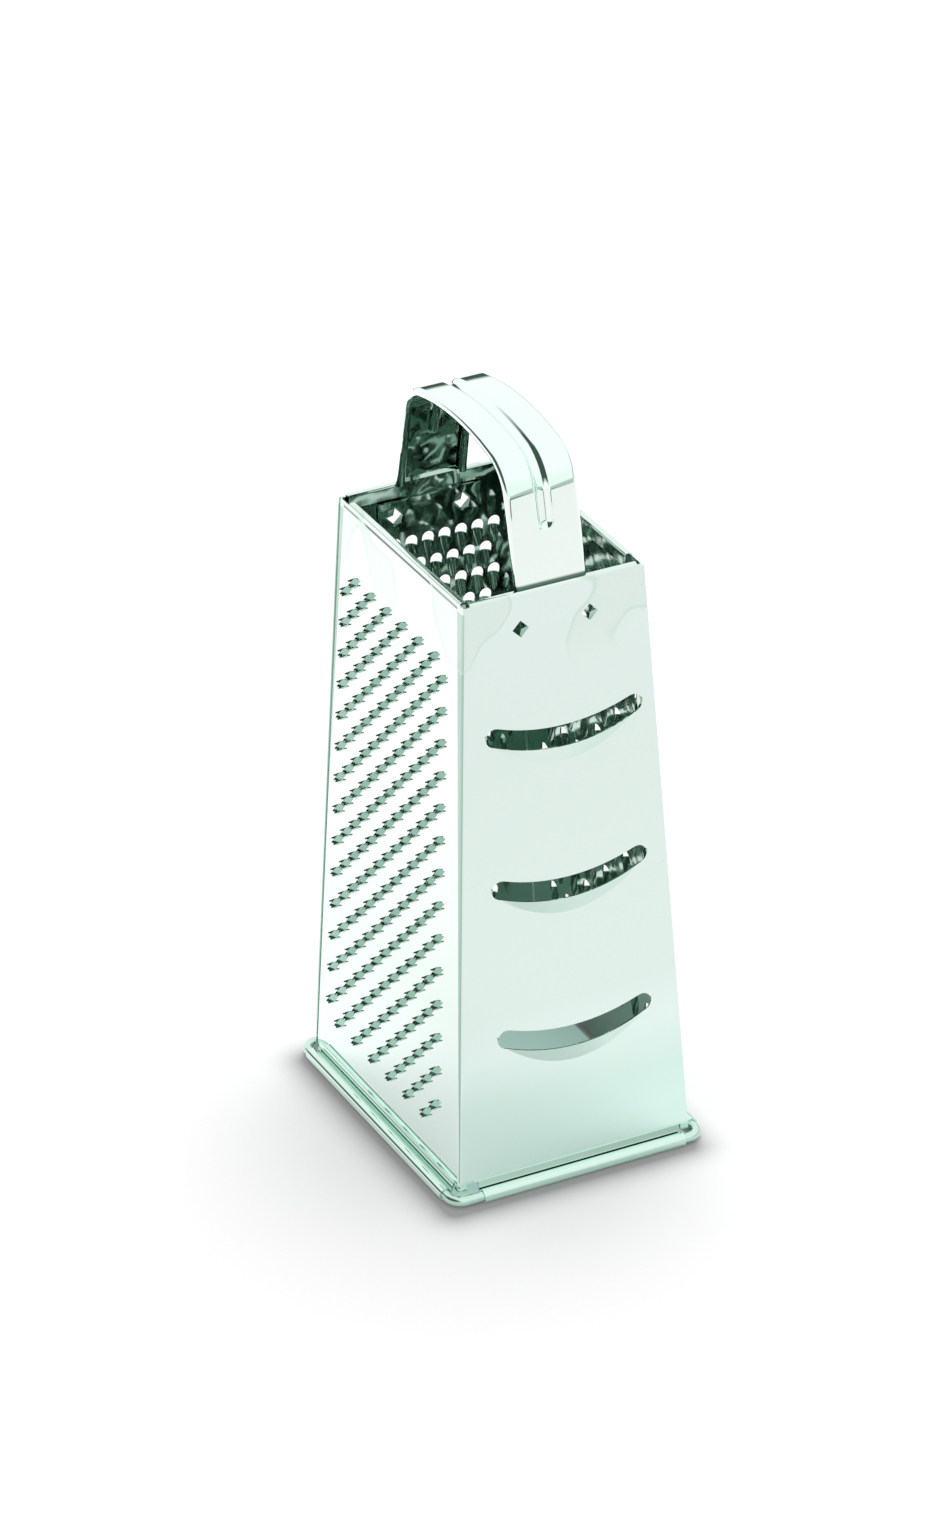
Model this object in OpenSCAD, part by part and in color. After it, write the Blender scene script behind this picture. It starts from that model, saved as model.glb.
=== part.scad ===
// Four-sided box grater of stainless sheet, standing on its wired base.
// Millimetres, +Z up. The origin is the middle of the base, on the floor.
// The slicing side faces -Y, the fine rasp -X, the medium shredder +Y and the coarse shredder +X.

/* [Body] */
// Height of a side from the crease above the wired base to the rim
panel_h = 190; // [150:5:220]
// Width of the slicing and medium sides at the crease
base_w = 78; // [68:1:90]
// Width of the rasp and coarse sides at the crease
base_d = 99; // [88:1:112]
// Width of the slicing and medium sides at the rim
rim_w = 59; // [54:1:66]
// Width of the rasp and coarse sides at the rim
rim_d = 82.5; // [76:0.5:90]
// Thickness of the body sheet
sheet = 0.5; // [0.4:0.05:0.7]
// Outside radius of the upright folds
fold_r = 1.3; // [1:0.1:2]
// Width of the welding flange behind each seam
flange_w = 5.5; // [4:0.5:7]
// Gap left between sheets that are welded or seated on each other
seat_gap = 0.05; // [0.03:0.01:0.08]

/* [Seam welds] */
// Distance of the spot welds from the seam's edge
weld_inset = 1.4; // [1.2:0.1:2.8]
// Diameter of a weld's shallow dimple
weld_d = 1.8; // [1.2:0.1:2.4]
// Depth of a weld's dimple
weld_depth = 0.12; // [0.08:0.01:0.15]

/* [Rim hem] */
// Width of the folded rim, measured inwards
hem_w = 2.5; // [2.2:0.1:3]
// Height of the folded rim's inner flap
hem_drop = 4.5; // [3:0.5:5.5]
// Outside radius of the two bends of the folded rim
hem_r = 0.9; // [0.8:0.05:1]
// How far each hem stops short of an upright fold
hem_relief = 2.2; // [1.5:0.1:3]
// How far the hem of a flanged side stops short of its seam
seam_relief = 7; // [6.5:0.5:9]

/* [Wired base] */
// Diameter of the wire in the base
wire_d = 3; // [2.5:0.1:3.2]
// Distance of the wire's centre outside the crease
wire_out = 2.9; // [2.7:0.1:3.3]
// Distance of the wire's centre below the crease
wire_drop = 3.5; // [3.3:0.1:4]
// Radius of the wire's centre line at the corners
wire_bend = 4.1; // [3.5:0.1:5]
// Direction of the curl's free edge, seen from the wire's centre
curl_end = 125; // [110:1:135]
// How far the curls stop short of the body's corners
curl_relief = 3.2; // [3:0.1:5]
// How far the slicing and medium sides' curls stop short of the folded corner
fold_relief = 6.5; // [4:0.5:8]
// Width of the tips that the sheet keeps at each corner, between the curls
tip_w = 2.6; // [2:0.1:2.8]
// How far the corner tips reach below the crease
tip_drop = 2; // [1:0.1:2.2]
// Depth of the flat on which the curls stand
foot_flat = 0.12; // [0.1:0.01:0.15]

/* [Slicing slots] */
// Length of a slot
slot_w = 51.6; // [40:0.2:52]
// Width of a slot
slot_h = 6; // [5:0.5:7]
// Radius of a slot's centre line
slot_arc = 65; // [60:1:90]
// Number of slots
slot_count = 3; // [1:1:3]
// Height of the lowest slot above the crease
slot_low = 41.3; // [36:0.1:46]
// Height of the highest slot below the rim
slot_drop = 48.7; // [44:0.1:54]
// Shift of the slots towards the coarse side
slot_shift = 1.8; // [0:0.1:2]
// How far a slot's cutting edge stands out
blade_h = 1.8; // [1:0.1:2.2]
// Angle of the ramp that carries the cutting edge
blade_slope = 18; // [14:1:22]
// Radius across a ramp, which fades out at the slot's ends
blade_arc = 91; // [85:1:120]

/* [Fine rasp] */
// Distance between burrs along the top row
burr_pitch = 10.6; // [10:0.05:11]
// Distance between burrs along the bottom row, larger as the side widens
burr_low_pitch = 11.85; // [11:0.05:12.5]
// Height of the top row below the rim
burr_drop = 24; // [20:0.5:40]
// Height of the bottom row above the crease
burr_foot = 13.7; // [10:0.1:30]
// Number of rows
burr_rows = 29; // [9:2:29]
// Number of burrs in a short row, and one more in a long row
burr_columns = 6; // [3:1:6]
// Shift of the pattern towards the medium side
burr_shift = 3; // [0:0.5:4]
// Side of a burr's square hole
burr_hole = 1.7; // [1.2:0.1:1.8]
// Height of a burr's four points
burr_h = 1.8; // [1:0.1:2]
// Thickness of the torn points
burr_t = 0.4; // [0.35:0.05:0.5]

/* [Medium shredder] */
// Distance between medium teeth along a row
medium_pitch = 5.55; // [5.3:0.05:6]
// Height of the top row below the rim
medium_drop = 23.5; // [22:0.5:40]
// Height of the bottom row above the crease
medium_foot = 18.9; // [12:0.1:40]
// Number of rows
medium_rows = 19; // [5:2:19]
// Number of teeth in a long row, and one fewer in a short row
medium_columns = 9; // [3:2:9]
// Radius of a medium tooth's hole
medium_r = 1.9; // [1.6:0.1:2]
// How far a medium tooth stands out
medium_h = 1.9; // [1.5:0.1:2.2]

/* [Coarse shredder] */
// Distance between coarse teeth along a row
coarse_pitch = 9.4; // [9:0.1:10]
// Height of the top row below the rim
coarse_drop = 26; // [24:0.5:40]
// Height of the bottom row above the crease
coarse_foot = 27.6; // [16:0.1:40]
// Number of rows
coarse_rows = 12; // [4:2:12]
// Number of teeth in a long row, and one fewer in a short row
coarse_columns = 8; // [4:2:8]
// Radius of a coarse tooth's hole
coarse_r = 2.7; // [2.4:0.1:2.8]
// How far a coarse tooth stands out
coarse_h = 2.6; // [2.2:0.1:3]

/* [Teeth] */
// Tilt of the tunnel under each shredding tooth
tooth_tilt = 20; // [18:1:26]
// How far each hole's straight sides reach above the medium teeth's cutting edge
medium_reach = 2; // [1:0.1:2.2]
// How far each hole's straight sides reach above the coarse teeth's cutting edge
coarse_reach = 0.8; // [0.5:0.1:1]
// How much further out a hole's side is than its tunnel's
hole_spare = 0.1; // [0.05:0.01:0.15]
// Thickness of the drawn metal of a shredding tooth
tooth_t = 0.4; // [0.35:0.05:0.5]

/* [Handle] */
// Height of the handle above the rim
handle_h = 41; // [36:1:50]
// Width of the strap over its rolled edges
strap_w = 23.4; // [22:0.2:26]
// Thickness of the strap
strap_t = 0.6; // [0.5:0.05:0.8]
// Outside radius of the strap's rolled edges
roll_r = 1.4; // [1.2:0.1:1.5]
// Radius of the handle's long top curve
crown_r = 100; // [90:5:120]
// Half the angle of the top curve
crown_angle = 13.5; // [11:0.5:14]
// Radius of the handle's two corners
corner_r = 15; // [12:1:16]
// How far inside the rim's outer edge the strap stands
strap_inset = 1.25; // [1.1:0.05:1.5]
// How far round the strap's edges are rolled, past level
roll_turn = 170; // [90:5:180]
// Width of the groove along the middle of the strap
groove_w = 5.6; // [4:0.2:7]
// Width of the groove's flat bottom
groove_flat = 1.6; // [1:0.2:3]
// Depth of the groove
groove_depth = 1.3; // [0.8:0.1:1.4]
// Height above the rim of the groove's rounded ends
groove_end = 15.5; // [12:0.5:20]
// Width of the neck that passes the hem
neck_w = 20.2; // [18:0.2:20.6]
// Width of the foot plate inside the body
foot_w = 34; // [30:1:38]
// Height of the foot plate's lower edge below the rim
foot_drop = 17.4; // [15:0.2:20]
// Corner radius of the foot plate
foot_r = 1.5; // [1:0.5:3]

/* [Clinches] */
// Distance between the two clinches of a foot
clinch_pitch = 22.6; // [20:0.2:24]
// Height of the clinches below the rim
clinch_drop = 11.6; // [10.5:0.1:12.5]
// Side of a clinch's square hole
clinch_hole = 3.8; // [3.4:0.1:4.2]
// How far the clinch's four points stand in from the sheet
clinch_h = 2; // [1.6:0.1:2.4]

/* [Hidden] */
$fn = 48;

// Sides of the many small tunnels in the mesh that is only looked at
tunnel_fn = 24;
// Steps of the bends that are drawn as outlines
bend_steps = 5;
curl_steps = 24;
slot_steps = 8;
hole_steps = 6;

curl_r = wire_d/2 + seat_gap + sheet;
crease_z = wire_drop + curl_r - foot_flat;
rim_z = crease_z + panel_h;
// Here the straight sheet ends and the hem's bend begins
bend_z = rim_z - hem_r;
tip_z = crease_z - tip_drop;
lap = sheet + seat_gap;

// Half the distance between opposite sides at the crease and where the hem begins
narrow_low = base_d/2;
narrow_high = narrow_low - (base_d - rim_d)/2*(bend_z - crease_z)/panel_h;
wide_low = base_w/2;
wide_high = wide_low - (base_w - rim_w)/2*(bend_z - crease_z)/panel_h;

// Angles of the narrow sides (slicing, medium) and the wide ones (rasp, coarse) from upright
narrow_lean = atan((base_d - rim_d)/2/panel_h);
wide_lean = atan((base_w - rim_w)/2/panel_h);

// The upright fold line at the corner of the slicing and rasp sides, and the angle between them
corner_in_x = (base_w - rim_w)/2;
corner_in_y = (base_d - rim_d)/2;
corner_turn = atan2(corner_in_y, corner_in_x);
corner_lean = atan(norm([corner_in_x, corner_in_y])/panel_h);
arm_angle = atan2(-sin(corner_turn), cos(corner_lean)*cos(corner_turn));

function arc_points(centre, radius, from, to, steps) = [
    for (step = [0:steps])
        let (angle = from + (to - from)*step/steps)
            centre + radius*[cos(angle), sin(angle)]
];

function reversed(points) = [for (index = [len(points) - 1:-1:0]) points[index]];

// Local frames of the leaning sides: X along the side as seen from outside, Y up it, Z outwards

module on_narrow() {
    translate([0, -narrow_low, crease_z])
        rotate([90 - narrow_lean, 0, 0])
            children();
}

module on_wide() {
    rotate([0, 0, -90])
        translate([0, -wide_low, crease_z])
            rotate([90 - wide_lean, 0, 0])
                children();
}

// Extrudes an outline, drawn as distance from the middle and height, along a front or left side

module along_front(from, to) {
    translate([to, 0, 0])
        rotate([90, 0, -90])
            linear_extrude(to - from)
                children();
}

module along_left(from, to) {
    translate([0, from, 0])
        rotate([90, 0, 180])
            linear_extrude(to - from)
                children();
}

// How much further out a leaning line is at the end of a corner tip than at the crease
function tip_out(low, high) = tip_drop*(low - high)/(bend_z - crease_z);

// Upright band of a side between its outer face and a depth inside it
module sheet_band(low, high, depth) {
    tip = low + tip_out(low, high);
    polygon([
        [tip, tip_z],
        [low, crease_z],
        [high, bend_z],
        [high - depth, bend_z],
        [low - depth, crease_z],
        [tip - depth, tip_z]
    ]);
}

// Area of a side between its left and right edges, seen square on, with a tip at each lower corner
module side_area(left_low, left_high, right_low, right_high) {
    polygon([
        [-left_low - tip_out(left_low, left_high), tip_z],
        [-left_low, crease_z],
        [-left_high, bend_z],
        [right_high, bend_z],
        [right_low, crease_z],
        [right_low + tip_out(right_low, right_high), tip_z],
        [right_low - tip_w, tip_z],
        [right_low - tip_w, crease_z],
        [tip_w - left_low, crease_z],
        [tip_w - left_low, tip_z]
    ]);
}

module flange_area() {
    polygon([
        [-wide_low, crease_z],
        [-wide_high, bend_z],
        [flange_w - wide_high, bend_z],
        [flange_w - wide_low, crease_z]
    ]);
}

// The rim folded inwards and down
module hem_outline(high) {
    inner_r = hem_r - sheet;
    outer_centre = [high - hem_r, bend_z];
    inner_centre = [high - hem_w + hem_r, bend_z];
    flap_z = rim_z - hem_drop;
    polygon(concat(
        arc_points(outer_centre, hem_r, 0, 90, bend_steps),
        arc_points(inner_centre, hem_r, 90, 180, bend_steps),
        [[high - hem_w, flap_z], [high - hem_w + sheet, flap_z]],
        arc_points(inner_centre, inner_r, 180, 90, bend_steps),
        arc_points(outer_centre, inner_r, 90, 0, bend_steps)
    ));
}

// The flared strip under the crease and the curl round the wire, with a flat to stand on
module base_outline(low) {
    inner_r = curl_r - sheet;
    centre = [low + wire_out, crease_z - wire_drop];
    strip_angle = atan(wire_drop/wire_out) + asin(inner_r/norm([wire_out, wire_drop]));
    curl_start = 270 - strip_angle;
    curl_stop = 360 + curl_end;
    outer_arc = arc_points(centre, curl_r, curl_stop, curl_start, curl_steps);
    polygon(concat(
        [[low, crease_z]],
        arc_points(centre, inner_r, curl_start, curl_stop, curl_steps),
        [for (point = outer_arc) [point[0], max(point[1], 0)]],
        [[low - sheet, crease_z]]
    ));
}

// Extrudes an outline along the upright fold line at the front left corner
module along_corner() {
    overrun = 5;
    translate([-wide_low, -narrow_low, crease_z])
        rotate([0, corner_lean, corner_turn])
            translate([0, 0, -overrun])
                linear_extrude(panel_h + 2*overrun)
                    rotate(arm_angle)
                        children();
}

// A bend's circle crosses the flat faces at this angle instead of touching them
bend_cross = 8;

// What a round fold takes off the sharp outer corner
module fold_cut() {
    set = fold_r*cos(bend_cross);
    difference() {
        translate([-fold_r, -fold_r])
            square(fold_r + set);
        translate([set, set])
            circle(fold_r);
    }
}

// What a round fold adds in the inner corner
module fold_fill() {
    inner_r = fold_r - sheet;
    set = sheet + inner_r*cos(bend_cross);
    difference() {
        translate([sheet/2, sheet/2])
            square(set - sheet/2);
        translate([set, set])
            circle(inner_r);
    }
}

module fold_fills() {
    intersection() {
        union() {
            along_corner()
                fold_fill();
            mirror([0, 1, 0])
                along_corner()
                    translate([0, lap])
                        fold_fill();
        }
        translate([-2*wide_low, -2*narrow_low, tip_z])
            cube([4*wide_low, 4*narrow_low, bend_z - tip_z]);
    }
}

// One blank bent into half of the body: a wide left side, a fold and a narrow front side.
// The left side's back end is a flange that is welded inside the other half.
module half_shell() {
    difference() {
        union() {
            intersection() {
                along_front(-base_w, base_w)
                    sheet_band(narrow_low, narrow_high, sheet);
                rotate([90, 0, 0])
                    linear_extrude(2*base_d, center = true)
                        side_area(wide_low, wide_high, wide_low, wide_high);
            }
            intersection() {
                along_left(-base_d, base_d)
                    sheet_band(wide_low, wide_high, sheet);
                rotate([90, 0, 90])
                    linear_extrude(2*base_w, center = true)
                        side_area(narrow_low, narrow_high, narrow_low - lap, narrow_high - lap);
            }
            intersection() {
                mirror([0, 1, 0])
                    along_front(-base_w, base_w)
                        sheet_band(narrow_low - lap, narrow_high - lap, sheet);
                rotate([90, 0, 0])
                    linear_extrude(2*base_d, center = true)
                        flange_area();
            }
            fold_fills();
        }
        along_corner()
            fold_cut();
        mirror([0, 1, 0])
            along_corner()
                translate([0, lap])
                    fold_cut();
    }
    along_front(hem_relief - rim_w/2, rim_w/2 - hem_relief)
        hem_outline(narrow_high);
    along_left(hem_relief - rim_d/2, rim_d/2 - seam_relief)
        hem_outline(wide_high);
    along_front(fold_relief - wide_low, wide_low - curl_relief)
        base_outline(narrow_low);
    along_left(curl_relief - narrow_low, narrow_low - curl_relief)
        base_outline(wide_low);
}

// Extrudes an outline, drawn as X outwards and Y across, along the local X of a side
module ridge(length) {
    translate([length/2, 0, 0])
        rotate([0, -90, 0])
            linear_extrude(length)
                children();
}

// Spot welds along the seam, at the narrow side's right edge

weld_places = [0.055, 0.48, 0.92, 0.962];

module weld_dimples() {
    ball_r = (weld_d*weld_d/4 + weld_depth*weld_depth)/(2*weld_depth);
    for (place = weld_places) {
        edge = base_w/2 - (base_w - rim_w)/2*place;
        translate([edge - weld_inset, place*panel_h/cos(narrow_lean), ball_r - weld_depth])
            sphere(ball_r);
    }
}

// Slots of the slicing side

module each_slot() {
    pitch = (panel_h - slot_low - slot_drop)/max(slot_count - 1, 1);
    for (index = [0:slot_count - 1])
        translate([slot_shift, (slot_low + index*pitch)/cos(narrow_lean), 0])
            children();
}

module slot_outline() {
    half_angle = asin((slot_w - slot_h)/2/slot_arc);
    arc_centre = [0, slot_arc];
    low_angle = 270 - half_angle;
    high_angle = 270 + half_angle;
    left_end = arc_centre + slot_arc*[cos(low_angle), sin(low_angle)];
    right_end = arc_centre + slot_arc*[cos(high_angle), sin(high_angle)];
    polygon(concat(
        arc_points(arc_centre, slot_arc + slot_h/2, low_angle, high_angle, 2*slot_steps),
        arc_points(right_end, slot_h/2, high_angle, high_angle + 180, slot_steps),
        arc_points(arc_centre, slot_arc - slot_h/2, high_angle, low_angle, 2*slot_steps),
        arc_points(left_end, slot_h/2, low_angle + 180, low_angle + 360, slot_steps)
    ));
}

// The area below a slot's centre line
module under_slot() {
    difference() {
        translate([-slot_w/2, -slot_h/2 - slot_w/4])
            square([slot_w, slot_w/2]);
        translate([0, slot_arc])
            circle(slot_arc);
    }
}

// A wide shallow cylinder whose surface rises to the cutting edge
module ramp_cylinder(radius) {
    length = slot_w;
    translate([0, -slot_h/2, blade_h])
        rotate([blade_slope - 90, 0, 0])
            translate([0, blade_arc, -length])
                cylinder(r = radius, h = 2*length);
}

module blade_metal() {
    intersection() {
        difference() {
            ramp_cylinder(blade_arc);
            ramp_cylinder(blade_arc - sheet);
        }
        translate([0, 0, -sheet/2])
            linear_extrude(sheet/2 + 2*blade_h)
                under_slot();
    }
}

module blade_hollow() {
    intersection() {
        ramp_cylinder(blade_arc - sheet);
        translate([0, 0, -2*sheet])
            linear_extrude(2*sheet + 2*blade_h)
                under_slot();
    }
}

// The slot's own edge trims the ramp, so the two meet along one cutting edge
module slot_opening() {
    translate([0, 0, -2*sheet])
        linear_extrude(2*sheet + 2*blade_h)
            slot_outline();
    blade_hollow();
}

// Burrs of the fine rasp: square holes whose torn metal stands up in four points

// Places each burr; rows and columns spread alike from the top row down
module each_burr() {
    whole_spread = burr_low_pitch/burr_pitch;
    for (row = [0:burr_rows - 1]) {
        spread = pow(whole_spread, row/(burr_rows - 1));
        fallen = (spread - 1)/(whole_spread - 1);
        long_row = row%2;
        for (column = [0:burr_columns - 1 + long_row])
            translate([
                (column - (burr_columns - 1 + long_row)/2)*burr_pitch*spread - burr_shift,
                panel_h - burr_drop - fallen*(panel_h - burr_drop - burr_foot),
                0
            ])
                rotate(45)
                    children();
    }
}

module burr_metal() {
    side = burr_hole + 2*burr_t;
    for (turn = [0, 90])
        rotate(turn)
            ridge(side)
                polygon([[-sheet/2, -side/2], [0, -side/2], [burr_h, 0], [0, side/2], [-sheet/2, side/2]]);
}

module burr_opening() {
    translate([0, 0, burr_h/2])
        cube([burr_hole, burr_hole, burr_h + 4*sheet], center = true);
}

// Teeth of the shredders: the metal under each hole is drawn out into an open scoop

module each_tooth(pitch, drop, foot, rows, columns) {
    rise = (panel_h - drop - foot)/(rows - 1);
    for (row = [0:rows - 1]) {
        count = columns - row%2;
        for (column = [0:count - 1])
            translate([(column - (count - 1)/2)*pitch, panel_h - drop - row*rise, 0])
                children();
    }
}

// A tilted tunnel that comes out of the sheet; its mouth is at Y = 0
module tunnel(radius, axis_depth, length) {
    translate([0, 0, -axis_depth])
        rotate([tooth_tilt - 90, 0, 0])
            translate([0, 0, -length/2])
                cylinder(r = radius, h = length, $fn = tunnel_fn);
}

module tooth_metal(radius, height) {
    outer = radius + tooth_t;
    depth = outer/cos(tooth_tilt) - height;
    intersection() {
        tunnel(outer, depth, 10*outer);
        translate([-2*outer, -6*outer, -sheet/2])
            cube([4*outer, 6*outer, 3*height]);
    }
}

// The pocket under the cutting edge, and the round-topped hole above it
module tooth_opening(radius, height, reach) {
    outer = radius + tooth_t;
    depth = outer/cos(tooth_tilt) - height;
    hole_r = radius + hole_spare;
    intersection() {
        tunnel(radius, depth, 10*outer);
        translate([-2*outer, -6*outer, -3*outer])
            cube([4*outer, 6*outer + reach/2, 6*outer]);
    }
    translate([0, 0, -3*sheet])
        linear_extrude(4*sheet)
            polygon(concat(
                [[-hole_r, hole_spare], [hole_r, hole_spare]],
                arc_points([0, reach], hole_r, 0, 180, hole_steps)
            ));
}

// Clinches that hold the handle: the torn corners of a square hole point inwards

module each_clinch() {
    for (side = [-1, 1])
        translate([side*clinch_pitch/2, (panel_h - clinch_drop)/cos(narrow_lean), 0])
            rotate(45)
                children();
}

module clinch_metal() {
    side = clinch_hole + 2*sheet;
    for (turn = [0, 90])
        rotate(turn)
            ridge(side)
                polygon([
                    [-sheet/2, -side/2],
                    [-sheet, -side/2],
                    [-sheet - clinch_h, 0],
                    [-sheet, side/2],
                    [-sheet/2, side/2]
                ]);
}

module clinch_opening() {
    cube([clinch_hole, clinch_hole, 4*clinch_hole], center = true);
}

// The two halves of the body

module front_shell() {
    color("lightgreen")
        difference() {
            union() {
                half_shell();
                on_narrow() {
                    each_clinch()
                        clinch_metal();
                    each_slot()
                        blade_metal();
                }
                on_wide()
                    each_burr()
                        burr_metal();
            }
            on_narrow() {
                each_clinch()
                    clinch_opening();
                each_slot()
                    slot_opening();
                weld_dimples();
            }
            on_wide()
                each_burr()
                    burr_opening();
        }
}

module rear_shell() {
    color("mediumseagreen")
        rotate([0, 0, 180])
            difference() {
                union() {
                    half_shell();
                    on_narrow() {
                        each_clinch()
                            clinch_metal();
                        each_tooth(medium_pitch, medium_drop, medium_foot, medium_rows, medium_columns)
                            tooth_metal(medium_r, medium_h);
                    }
                    on_wide()
                        each_tooth(coarse_pitch, coarse_drop, coarse_foot, coarse_rows, coarse_columns)
                            tooth_metal(coarse_r, coarse_h);
                }
                on_narrow() {
                    each_clinch()
                        clinch_opening();
                    each_tooth(medium_pitch, medium_drop, medium_foot, medium_rows, medium_columns)
                        tooth_opening(medium_r, medium_h, medium_reach);
                    weld_dimples();
                }
                on_wide()
                    each_tooth(coarse_pitch, coarse_drop, coarse_foot, coarse_rows, coarse_columns)
                        tooth_opening(coarse_r, coarse_h, coarse_reach);
            }
}

// Handle: one strap with rolled edges, swept from foot to foot over the rim

groove_steps = 5;
groove_end_turns = [80, 60, 40, 20, 0];
roll_steps = 8;
corner_steps = 7;
crown_steps = 4;

strap_foot_y = rim_d/2 - strap_inset;
corner_y = (crown_r - corner_r)*sin(crown_angle);
corner_z = handle_h - crown_r + (crown_r - corner_r)*cos(crown_angle);
foot_to_corner = norm([strap_foot_y - corner_y, corner_z]);
strap_lean = atan2(strap_foot_y - corner_y, corner_z) - asin(corner_r/foot_to_corner);

// Half of the strap's cross-section, as distance across and outwards, from the middle to the roll's end.
// The groove is a flat bottom and a rounded shoulder, both drawn in by the fade where it ends.
function strap_line(inset, fade) = concat(
    [[0, -groove_depth*fade - inset]],
    [
        for (step = [0:groove_steps])
            [
                max(fade, 0.2)*(groove_flat + (groove_w - groove_flat)*step/groove_steps)/2,
                -groove_depth*fade*(1 + cos(180*step/groove_steps))/2 - inset
            ]
    ],
    arc_points([strap_w/2 - roll_r, -roll_r], roll_r - inset, 90, -roll_turn, roll_steps)
);

function mirrored(points) = [for (point = points) [-point[0], point[1]]];

function tail(points) = [for (index = [1:len(points) - 1]) points[index]];

function strap_outline(fade) =
    let (outer = strap_line(0, fade), inner = strap_line(strap_t, fade))
        concat(outer, reversed(inner), tail(mirrored(inner)), reversed(tail(mirrored(outer))));

// Stations of the back half: the angle of the outward direction, the place, and the groove's fade
leg_top = [corner_y, corner_z] + corner_r*[cos(strap_lean), sin(strap_lean)];
leg_way = [-sin(strap_lean), cos(strap_lean)];

function leg_station(height, fade) =
    [strap_lean, leg_top - leg_way*(leg_top[1] - height)/leg_way[1], fade];

// The groove's end is rounded in plan and in depth
function leg_stations() = concat(
    [leg_station(seat_gap, 0), leg_station(groove_end, 0)],
    [
        for (turn = groove_end_turns)
            leg_station(groove_end + groove_w/2*(1 - sin(turn)), cos(turn))
    ]
);

function corner_stations() = [
    for (step = [0:corner_steps])
        let (angle = strap_lean + (90 - crown_angle - strap_lean)*step/corner_steps)
            [angle, [corner_y, corner_z] + corner_r*[cos(angle), sin(angle)], 1]
];

function crown_stations() = [
    for (step = [1:crown_steps])
        let (angle = 90 - crown_angle + crown_angle*step/crown_steps)
            [angle, [0, handle_h - crown_r] + crown_r*[cos(angle), sin(angle)], 1]
];

function strap_stations() =
    let (half = concat(leg_stations(), corner_stations(), crown_stations()))
        concat(half, tail(reversed([
            for (station = half)
                [180 - station[0], [-station[1][0], station[1][1]], station[2]]
        ])));

// Triangles across the strap's thickness at an end; each half line of the outline has n points
function end_cap(count, first, turned) =
    let (n = (count + 2)/4)
        [
            for (place = [1 - n:n - 2])
                let (
                    outer = first + (count + place)%count,
                    next_outer = first + (count + place + 1)%count,
                    inner = first + 2*n - 1 - place,
                    next_inner = first + 2*n - 2 - place
                )
                    each turned
                        ? [[outer, next_outer, inner], [next_outer, next_inner, inner]]
                        : [[outer, inner, next_outer], [next_outer, inner, next_inner]]
        ];

// One closed skin through the outlines of all stations
module sweep(stations) {
    rings = [
        for (station = stations)
            [
                for (point = strap_outline(station[2]))
                    [
                        point[0],
                        station[1][0] + point[1]*cos(station[0]),
                        rim_z + station[1][1] + point[1]*sin(station[0])
                    ]
            ]
    ];
    count = len(rings[0]);
    last = len(rings) - 1;
    polyhedron(
        points = [for (ring = rings) for (point = ring) point],
        faces = concat(
            end_cap(count, 0, false),
            end_cap(count, last*count, true),
            [
                for (ring = [0:last - 1])
                    for (index = [0:count - 1])
                        [ring*count + index, ring*count + (index + 1)%count, (ring + 1)*count + index]
            ],
            [
                for (ring = [0:last - 1])
                    for (index = [0:count - 1])
                        [
                            (ring + 1)*count + index,
                            ring*count + (index + 1)%count,
                            (ring + 1)*count + (index + 1)%count
                        ]
            ]
        )
    );
}

// Distance of the narrow side's inner face from the middle, at a height below the rim
function inside_at(drop) = rim_d/2 + (base_d - rim_d)/2*drop/panel_h - sheet - seat_gap;

// Heights of the strap's end: the room below the hem, the step out to the side, and, from the
// rim, where the neck bends over and where it ends inside the leaning strap
hem_room = 0.6;
step_h = 1.6;
neck_low = 0.1;
neck_high = 1.1;
neck_top = 2.2;
// The plate's shoulders lie a little lower than the room below the hem
shoulder_room = 0.8;
// Half the neck's thickness inside the strap, and how much lower its outer line bends
neck_half_t = 0.15;
neck_lag = 0.4;

// The strap's end in cross-section: inside the hem, then back out to lie on the side
module foot_outline() {
    past_hem = narrow_high - hem_w - seat_gap;
    step_high = hem_drop + hem_room;
    step_low = step_high + step_h;
    middle = strap_foot_y - strap_t/2;
    slope = tan(strap_lean);
    outer_line = [
        [inside_at(foot_drop), -foot_drop],
        [inside_at(step_low), -step_low],
        [past_hem, -step_high],
        [past_hem, neck_low],
        [middle + neck_half_t - slope*neck_high, neck_high],
        [middle + neck_half_t - slope*neck_top, neck_top]
    ];
    inner_line = [
        [middle - neck_half_t - slope*neck_top, neck_top],
        [middle - neck_half_t - slope*neck_high, neck_high + neck_lag],
        [past_hem - strap_t, neck_low + neck_lag],
        [past_hem - strap_t, -step_high],
        [inside_at(step_low) - strap_t, -step_low],
        [inside_at(foot_drop) - strap_t, -foot_drop]
    ];
    translate([0, rim_z])
        polygon(concat(outer_line, inner_line));
}

// The neck and the foot plate seen square on
module foot_area() {
    shoulder = -hem_drop - shoulder_room;
    translate([0, rim_z]) {
        translate([-neck_w/2, shoulder - foot_r])
            square([neck_w, 2*neck_top - shoulder + foot_r]);
        translate([-foot_w/2, -foot_drop + foot_r])
            square([foot_w, foot_drop + shoulder - 2*foot_r]);
        polygon(concat(
            arc_points([foot_w/2 - foot_r, -foot_drop + foot_r], foot_r, -90, 0, bend_steps),
            arc_points([foot_w/2 - foot_r, shoulder - foot_r], foot_r, 0, 90, bend_steps),
            arc_points([-foot_w/2 + foot_r, shoulder - foot_r], foot_r, 90, 180, bend_steps),
            arc_points([-foot_w/2 + foot_r, -foot_drop + foot_r], foot_r, 180, 270, bend_steps)
        ));
    }
}

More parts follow.
